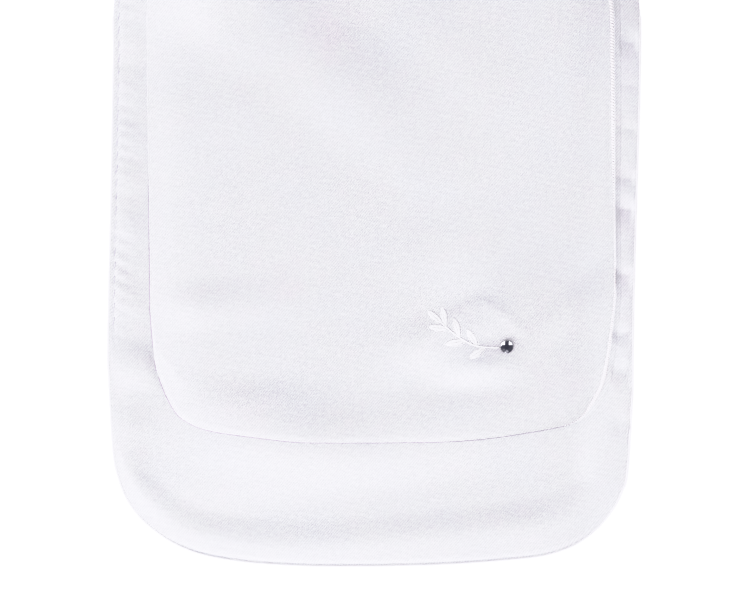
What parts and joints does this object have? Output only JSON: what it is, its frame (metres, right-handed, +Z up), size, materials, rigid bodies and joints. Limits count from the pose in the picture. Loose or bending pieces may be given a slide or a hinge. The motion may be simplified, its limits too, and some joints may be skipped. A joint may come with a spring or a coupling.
{
  "type": "cravat",
  "caption": "Ready-tied white satin cravat: a long tail under a shorter one, gathered into a knot on a stiff neck band that closes at the back.",
  "frame": {"origin": "under the middle of the whole cravat, on the surface that it lies on", "axes": "+X across the tails to the wearer's left as seen from above, +Y from the tails' lower ends to the neck band, +Z up"},
  "size_m": [0.1448, 0.367, 0.044],
  "materials": {
    "satin": "white satin twill, soft sheen",
    "thread": "bright embroidery thread",
    "tape": "matt hook and loop tape",
    "crystal": "cut glass with a silver foil back"
  },
  "bodies": {
    "root": {"back_tail": "satin", "front_tail": "satin", "embroidery": "thread", "crystal": "crystal", "knot": "satin", "neck_band": "satin", "closure_strip": "tape"}
  },
  "joints": []
}
